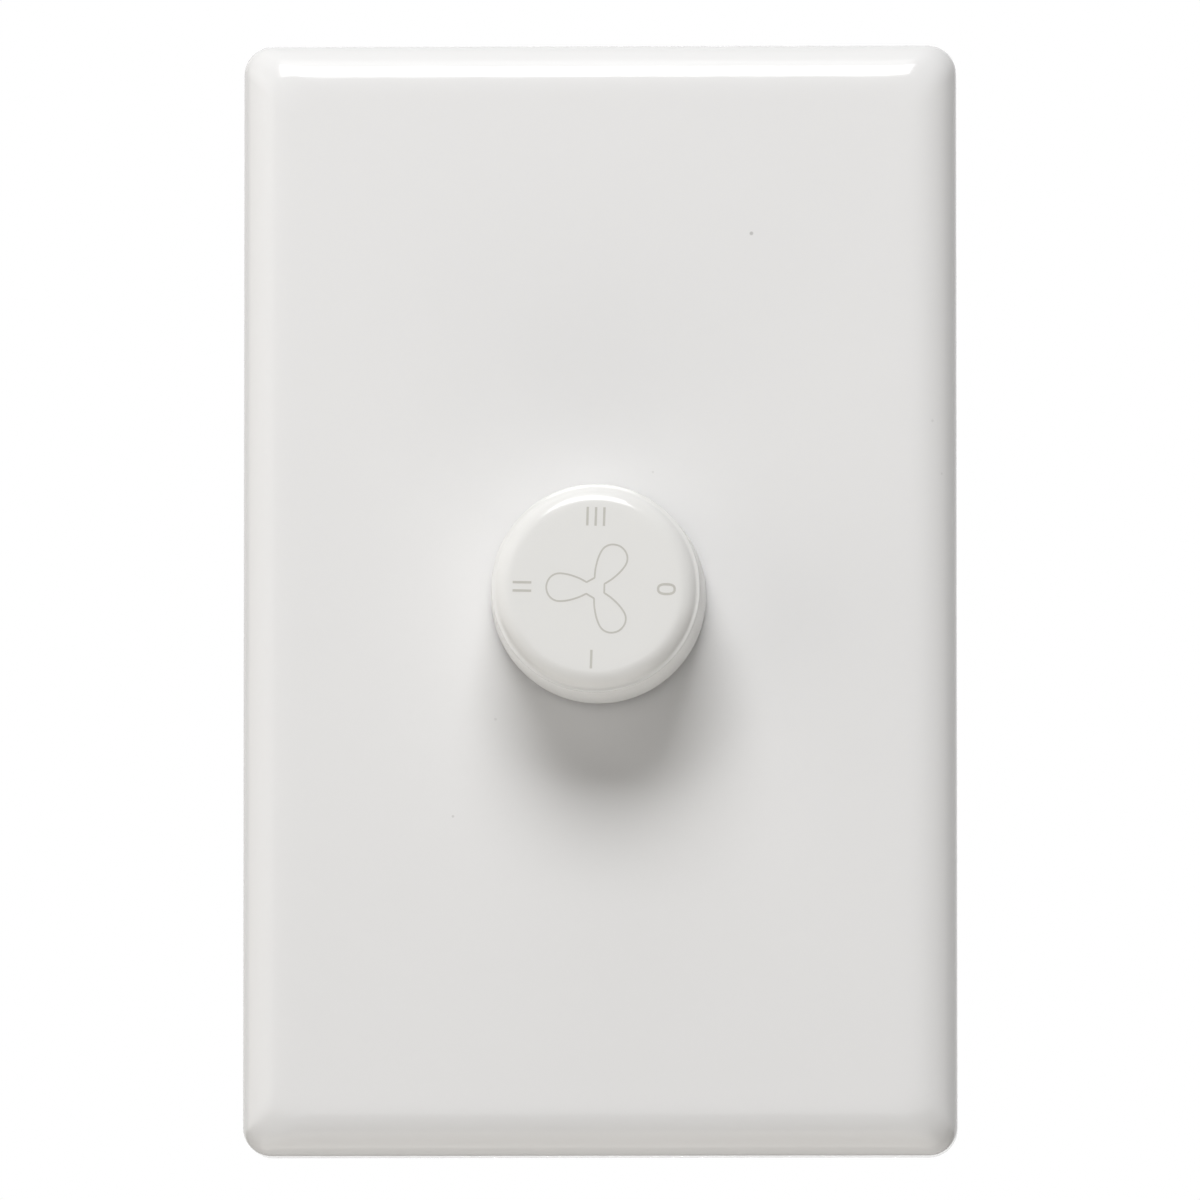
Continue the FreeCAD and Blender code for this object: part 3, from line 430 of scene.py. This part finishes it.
class Look:
    """A material's node tree, with short calls for the nodes that the looks share."""

    def __init__(self, name):
        self.material = bpy.data.materials.new(name)
        self.material.use_nodes = True
        self.tree = self.material.node_tree
        self.shader = self.tree.nodes["Principled BSDF"]
        self.where = self.node("ShaderNodeTexCoord").outputs["Object"]

    def node(self, kind, **settings):
        made = self.tree.nodes.new(kind)
        for name, setting in settings.items():
            setattr(made, name, setting)
        return made

    def link(self, output, socket):
        self.tree.links.new(output, socket)

    def noise(self, size, detail=3.0, stretch=(1, 1, 1)):
        """Noise with features of about that size in millimetres, from 0 to 1."""
        mapping = self.node("ShaderNodeMapping")
        mapping.inputs["Scale"].default_value = [1 / (size * MM * part) for part in stretch]
        self.link(self.where, mapping.inputs["Vector"])
        texture = self.node("ShaderNodeTexNoise")
        texture.inputs["Scale"].default_value = 1.0
        texture.inputs["Detail"].default_value = detail
        self.link(mapping.outputs["Vector"], texture.inputs["Vector"])
        return texture.outputs["Fac"]

    def ranged(self, value, low, high, from_low=0.3, from_high=0.7):
        """A value mapped to a range, by default from the middle of what noise gives."""
        made = self.node("ShaderNodeMapRange")
        limits = {"From Min": from_low, "From Max": from_high, "To Min": low, "To Max": high}
        for name, number in limits.items():
            made.inputs[name].default_value = number
        self.link(value, made.inputs["Value"])
        return made.outputs["Result"]

    def maths(self, operation, *values):
        """The result of an operation on values, each a number or another node's output."""
        made = self.node("ShaderNodeMath", operation=operation)
        for socket, value in zip(made.inputs, values):
            if isinstance(value, bpy.types.NodeSocket):
                self.link(value, socket)
            else:
                socket.default_value = value
        return made.outputs["Value"]

    def mixed(self, factor, first, second):
        """A colour between two, each a colour or another node's output."""
        made = self.node("ShaderNodeMix", data_type="RGBA")
        self.link(factor, made.inputs["Factor"])
        for name, colour in (("A", first), ("B", second)):
            socket = next(s for s in made.inputs if s.name == name and s.type == "RGBA")
            if isinstance(colour, bpy.types.NodeSocket):
                self.link(colour, socket)
            else:
                socket.default_value = (*colour, 1.0)
        return next(s for s in made.outputs if s.type == "RGBA")

    def behind(self, level, blend=0.05):
        """1 behind a level out of the wall, in millimetres, and 0 in front of it."""
        parts = self.node("ShaderNodeSeparateXYZ")
        self.link(self.where, parts.inputs["Vector"])
        return self.ranged(parts.outputs["Y"], 0.0, 1.0, -(level + blend) * MM, -(level - blend) * MM)

    def near(self, spot, radius, core=0.6):
        """1 in the core of a round spot, and 0 outside its radius in millimetres."""
        distance = self.node("ShaderNodeVectorMath", operation="DISTANCE")
        distance.inputs[1].default_value = spot
        self.link(self.where, distance.inputs[0])
        return self.ranged(distance.outputs["Value"], 1.0, 0.0, radius * MM * core, radius * MM)

    def colour(self, value):
        self.link(value, self.shader.inputs["Base Color"])

    def roughness(self, value):
        self.link(value, self.shader.inputs["Roughness"])

    def bump(self, height, depth):
        """Bumps of that depth in millimetres, on top of any earlier ones."""
        made = self.node("ShaderNodeBump")
        made.inputs["Distance"].default_value = depth * MM
        self.link(height, made.inputs["Height"])
        for earlier in self.shader.inputs["Normal"].links:
            self.link(earlier.from_socket, made.inputs["Normal"])
        self.link(made.outputs["Normal"], self.shader.inputs["Normal"])


def shades(colour, spread):
    """A darker and a lighter shade of a colour."""
    return [part * (1 - spread) for part in colour], [min(part * (1 + spread), 1.0) for part in colour]


def plastic(name, colour, spread, rough, grain, depth):
    """Moulded plastic: faint cloudy colour, uneven gloss and a fine surface grain."""
    look = Look(name)
    look.shader.inputs["IOR"].default_value = PLASTIC_IOR
    look.colour(look.mixed(look.noise(14, 2), *shades(colour, spread)))
    look.roughness(look.ranged(look.noise(5, 4), *rough))
    look.bump(look.noise(grain, 2), depth)
    return look


def white_gloss(name, colour, specks=()):
    """Polished white moulding, with the few dust specks that show on it."""
    look = plastic(name, colour, spread=0.006, rough=(0.10, 0.16), grain=2.5, depth=0.0006)
    for spot, radius, strength in specks:
        base = look.shader.inputs["Base Color"].links[0].from_socket
        shade = look.ranged(look.near(spot, radius), 0.0, strength, 0.0, 1.0)
        look.colour(look.mixed(shade, base, SPECK_COLOUR))
    return look


def grip_gloss(name, colour):
    """The same white on the knob, finely textured round its side."""
    look = white_gloss(name, colour)
    look.shader.inputs["IOR"].default_value = KNOB_IOR
    grip = look.behind(GRIP_TOP)
    gloss = look.shader.inputs["Roughness"].links[0].from_socket
    look.roughness(look.maths("MULTIPLY_ADD", grip, GRIP_ROUGHNESS, gloss))
    grain = look.ranged(look.noise(GRIP_GRAIN, 2), -1.0, 1.0)
    look.bump(look.maths("MULTIPLY", grip, grain), GRIP_DEPTH)
    return look


def metal(name, colour, spread, rough, stretch):
    """Plated or bare metal with fine working marks, drawn out along one axis."""
    look = Look(name)
    look.shader.inputs["Metallic"].default_value = 1.0
    look.colour(look.mixed(look.noise(2.5, 4), *shades(colour, spread)))
    look.roughness(look.ranged(look.noise(0.5, 3, stretch), *rough))
    look.bump(look.noise(0.25, 2, stretch), 0.001)
    return look


def laminate(name):
    """A coated circuit board, with the weave of its glass cloth showing through."""
    look = Look(name)
    weave = look.node("ShaderNodeTexChecker")
    weave.inputs["Scale"].default_value = 1 / (WEAVE_SIZE * MM)
    look.link(look.where, weave.inputs["Vector"])
    cloudy = look.mixed(look.noise(6, 3), (0.020, 0.115, 0.045), (0.030, 0.150, 0.062))
    thread = look.ranged(weave.outputs["Fac"], 0.0, 0.18, 0.0, 1.0)
    look.colour(look.mixed(thread, cloudy, (0.05, 0.20, 0.10)))
    look.roughness(look.ranged(look.noise(3, 3), 0.25, 0.40))
    look.bump(weave.outputs["Fac"], 0.01)
    return look


def ceramic(name):
    """Lacquered resistor bodies with speckle."""
    look = Look(name)
    look.colour(look.mixed(look.noise(0.4, 5), (0.36, 0.24, 0.13), (0.46, 0.33, 0.20)))
    look.roughness(look.ranged(look.noise(1.0, 3), 0.35, 0.55))
    look.bump(look.noise(0.3, 3), 0.01)
    return look


def ink(name):
    """Grey printing ink, a little uneven."""
    look = Look(name)
    look.colour(look.mixed(look.noise(0.25, 3), (0.52, 0.51, 0.475), (0.58, 0.57, 0.535)))
    look.roughness(look.ranged(look.noise(0.4, 2), 0.35, 0.5))
    look.bump(look.noise(0.1, 2), 0.002)
    return look


# Pieces and their looks

# Place, radius and strength of each dust speck on the cover plate
PLATE_SPECKS = [
    (place(16.03, 38.26, 9.5), 0.24, 0.38),
    (place(-15.31, -23.05, 9.5), 0.17, 0.22),
    (place(5.67, 13.13, 9.5), 0.15, 0.12),
    (place(-10.85, -12.85, 9.5), 0.18, 0.12),
    (place(35.05, 18.52, 9.0), 0.20, 0.12),
    (place(36.02, 12.99, 8.33), 0.17, 0.13),
]


def slot_looks():
    """The look of each material slot, apart from the gloss white of the pieces drawn here."""
    return {
        "white_matte": plastic(
            "white_matte_plastic", (0.74, 0.74, 0.72), spread=0.012, rough=(0.38, 0.50), grain=0.7, depth=0.01
        ),
        "housing_plastic": plastic(
            "grey_moulding", (0.17, 0.175, 0.18), spread=0.05, rough=(0.45, 0.60), grain=0.35, depth=0.02
        ),
        "switch_plastic": plastic(
            "natural_nylon", (0.62, 0.59, 0.50), spread=0.03, rough=(0.35, 0.50), grain=0.8, depth=0.01
        ),
        "capacitor_case": plastic(
            "yellow_case", (0.66, 0.45, 0.06), spread=0.04, rough=(0.30, 0.42), grain=0.5, depth=0.01
        ),
        "steel": metal(
            "zinc_plated_steel", (0.62, 0.62, 0.63), spread=0.04, rough=(0.33, 0.40), stretch=(1, 1, 6)
        ),
        "plated_steel": metal(
            "yellow_zinc_steel", (0.66, 0.60, 0.45), spread=0.05, rough=(0.33, 0.39), stretch=(6, 1, 1)
        ),
        "brass": metal(
            "worked_brass", (0.75, 0.55, 0.24), spread=0.05, rough=(0.32, 0.38), stretch=(1, 6, 1)
        ),
        "board": laminate("circuit_laminate"),
        "resistor_body": ceramic("lacquered_ceramic"),
    }


def dress(piece, look):
    piece.data.materials.clear()
    piece.data.materials.append(look.material)


def dress_solids():
    """A procedural material for every solid that the scene carries over."""
    looks = slot_looks()
    slots = {part["node"]: part["material_slot"] for part in frame["record"]["subparts"]}
    for name, solid in frame["nodes"].items():
        if slots[name] in looks:
            dress(solid, looks[slots[name]])


def add_pieces():
    """The cover plate and the knob in place of their solids, and the marks on the knob."""
    cover = mesh_piece("cover_plate_fine", draw_cover)
    dress(cover, white_gloss("white_gloss_plate", (0.798, 0.796, 0.796), PLATE_SPECKS))
    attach(cover, "base")
    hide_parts("cover_plate")
    knob = mesh_piece("knob_fine", draw_knob)
    dress(knob, grip_gloss("white_gloss_knob", (0.798, 0.796, 0.781)))
    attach(knob, "dial")
    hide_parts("knob")
    marks = mesh_piece("knob_marks", draw_marks)
    dress(marks, ink("mark_ink"))
    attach(marks, "dial")


# Stage

WHITE, WARM = (1.0, 1.0, 1.0), (1.0, 0.965, 0.915)


def seen_directly(tree):
    """1 for rays that show the background: from the camera, off gloss or through glass."""
    path = tree.nodes.new("ShaderNodeLightPath")
    total = path.outputs["Is Camera Ray"]
    for name in ("Is Glossy Ray", "Is Transmission Ray"):
        add = tree.nodes.new("ShaderNodeMath")
        add.operation = "ADD"
        add.use_clamp = True
        tree.links.new(total, add.inputs[0])
        tree.links.new(path.outputs[name], add.inputs[1])
        total = add.outputs["Value"]
    return total


def add_world(level, lean, tint):
    """Soft light from all round, stronger towards the direction of lean, and white where it is seen."""
    world = bpy.data.worlds.new("studio")
    world.use_nodes = True
    tree = world.node_tree
    soft = tree.nodes["Background"]
    soft.inputs["Color"].default_value = (*tint, 1.0)
    along = tree.nodes.new("ShaderNodeVectorMath")
    along.operation = "DOT_PRODUCT"
    along.inputs[1].default_value = lean
    tree.links.new(tree.nodes.new("ShaderNodeTexCoord").outputs["Generated"], along.inputs[0])
    strength = tree.nodes.new("ShaderNodeMath")
    strength.operation = "ADD"
    strength.inputs[1].default_value = level
    tree.links.new(along.outputs["Value"], strength.inputs[0])
    tree.links.new(strength.outputs["Value"], soft.inputs["Strength"])
    white = tree.nodes.new("ShaderNodeBackground")
    white.inputs["Color"].default_value = (*WHITE, 1.0)
    white.inputs["Strength"].default_value = 1.0
    mix = tree.nodes.new("ShaderNodeMixShader")
    tree.links.new(seen_directly(tree), mix.inputs["Fac"])
    tree.links.new(soft.outputs["Background"], mix.inputs[1])
    tree.links.new(white.outputs["Background"], mix.inputs[2])
    tree.links.new(mix.outputs["Shader"], tree.nodes["World Output"].inputs["Surface"])
    bpy.context.scene.world = world


def add_floor(height, size, lift):
    """A pale floor, lifted towards white for the camera, which keeps the object's shadow."""
    mesh = bpy.data.meshes.new("floor")
    half = size / 2
    corners = [(x, y, height) for x, y in ((-half, -half), (half, -half), (half, half), (-half, half))]
    mesh.from_pydata(corners, [], [(0, 1, 2, 3)])
    floor = bpy.data.objects.new("floor", mesh)
    bpy.context.scene.collection.objects.link(floor)
    look = Look("pale_floor")
    look.colour(look.mixed(look.noise(40, 2), (0.78, 0.78, 0.77), (0.82, 0.82, 0.81)))
    look.shader.inputs["Roughness"].default_value = 0.9
    look.shader.inputs["Emission Color"].default_value = (*WHITE, 1.0)
    from_camera = look.node("ShaderNodeLightPath").outputs["Is Camera Ray"]
    look.link(look.maths("MULTIPLY", from_camera, lift), look.shader.inputs["Emission Strength"])
    dress(floor, look)


def add_softbox(name, spot, size, radiance, tint=WHITE, aim=(0, 0, 0)):
    """A flat lamp of even radiance that faces a point."""
    lamp = bpy.data.lights.new(name, "AREA")
    lamp.shape = "RECTANGLE"
    lamp.size, lamp.size_y = size
    lamp.energy = radiance * math.pi * size[0] * size[1]
    lamp.color = tint
    box = bpy.data.objects.new(name, lamp)
    box.location = spot
    box.rotation_mode = "QUATERNION"
    box.rotation_quaternion = (Vector(aim) - Vector(spot)).to_track_quat("-Z", "Y")
    box.visible_camera = False
    bpy.context.scene.collection.objects.link(box)


def add_camera(azimuth, elevation, distance, width, aim):
    """A long lens that frames a given width at the plate."""
    camera = bpy.data.cameras.new("camera")
    camera.sensor_width = 36.0
    camera.lens = camera.sensor_width * distance / width
    camera.clip_end = 50.0
    turn, rise = math.radians(azimuth), math.radians(elevation)
    back = Vector((math.sin(turn) * math.cos(rise), -math.cos(turn) * math.cos(rise), math.sin(rise)))
    view = bpy.data.objects.new("camera", camera)
    view.location = aim + back * distance
    view.rotation_mode = "QUATERNION"
    view.rotation_quaternion = (-back).to_track_quat("-Z", "Y")
    bpy.context.scene.collection.objects.link(view)
    bpy.context.scene.camera = view


dress_solids()
add_pieces()
add_camera(azimuth=1.5, elevation=-4.2, distance=2.0, width=0.1262, aim=place(0, 0, 5.0))
add_world(level=0.10, lean=(0.0, 0.0, -0.03), tint=WARM)
add_floor(height=-0.9, size=8.0, lift=0.62)
add_softbox("overhead", spot=(-0.08, -0.769, 0.783), size=(0.65, 0.488), radiance=10.6)
add_softbox("overhead_high", spot=(-0.08, -0.411, 1.017), size=(0.50, 0.388), radiance=1.8)
add_softbox("low_fill", spot=(-0.03, -0.09, -0.62), size=(1.0, 0.6), radiance=1.22, tint=WARM)
add_softbox("left_fill", spot=(-0.56, -0.15, 0.06), size=(0.97, 0.60), radiance=0.83, tint=WARM)
add_softbox("right_fill", spot=(0.58, -0.17, -0.07), size=(0.50, 0.60), radiance=0.36, tint=WARM)
add_softbox("rear_fill", spot=(0.0, 0.6, 0.0), size=(0.07, 0.11), radiance=105.0)
bpy.context.scene.view_settings.view_transform = "Standard"
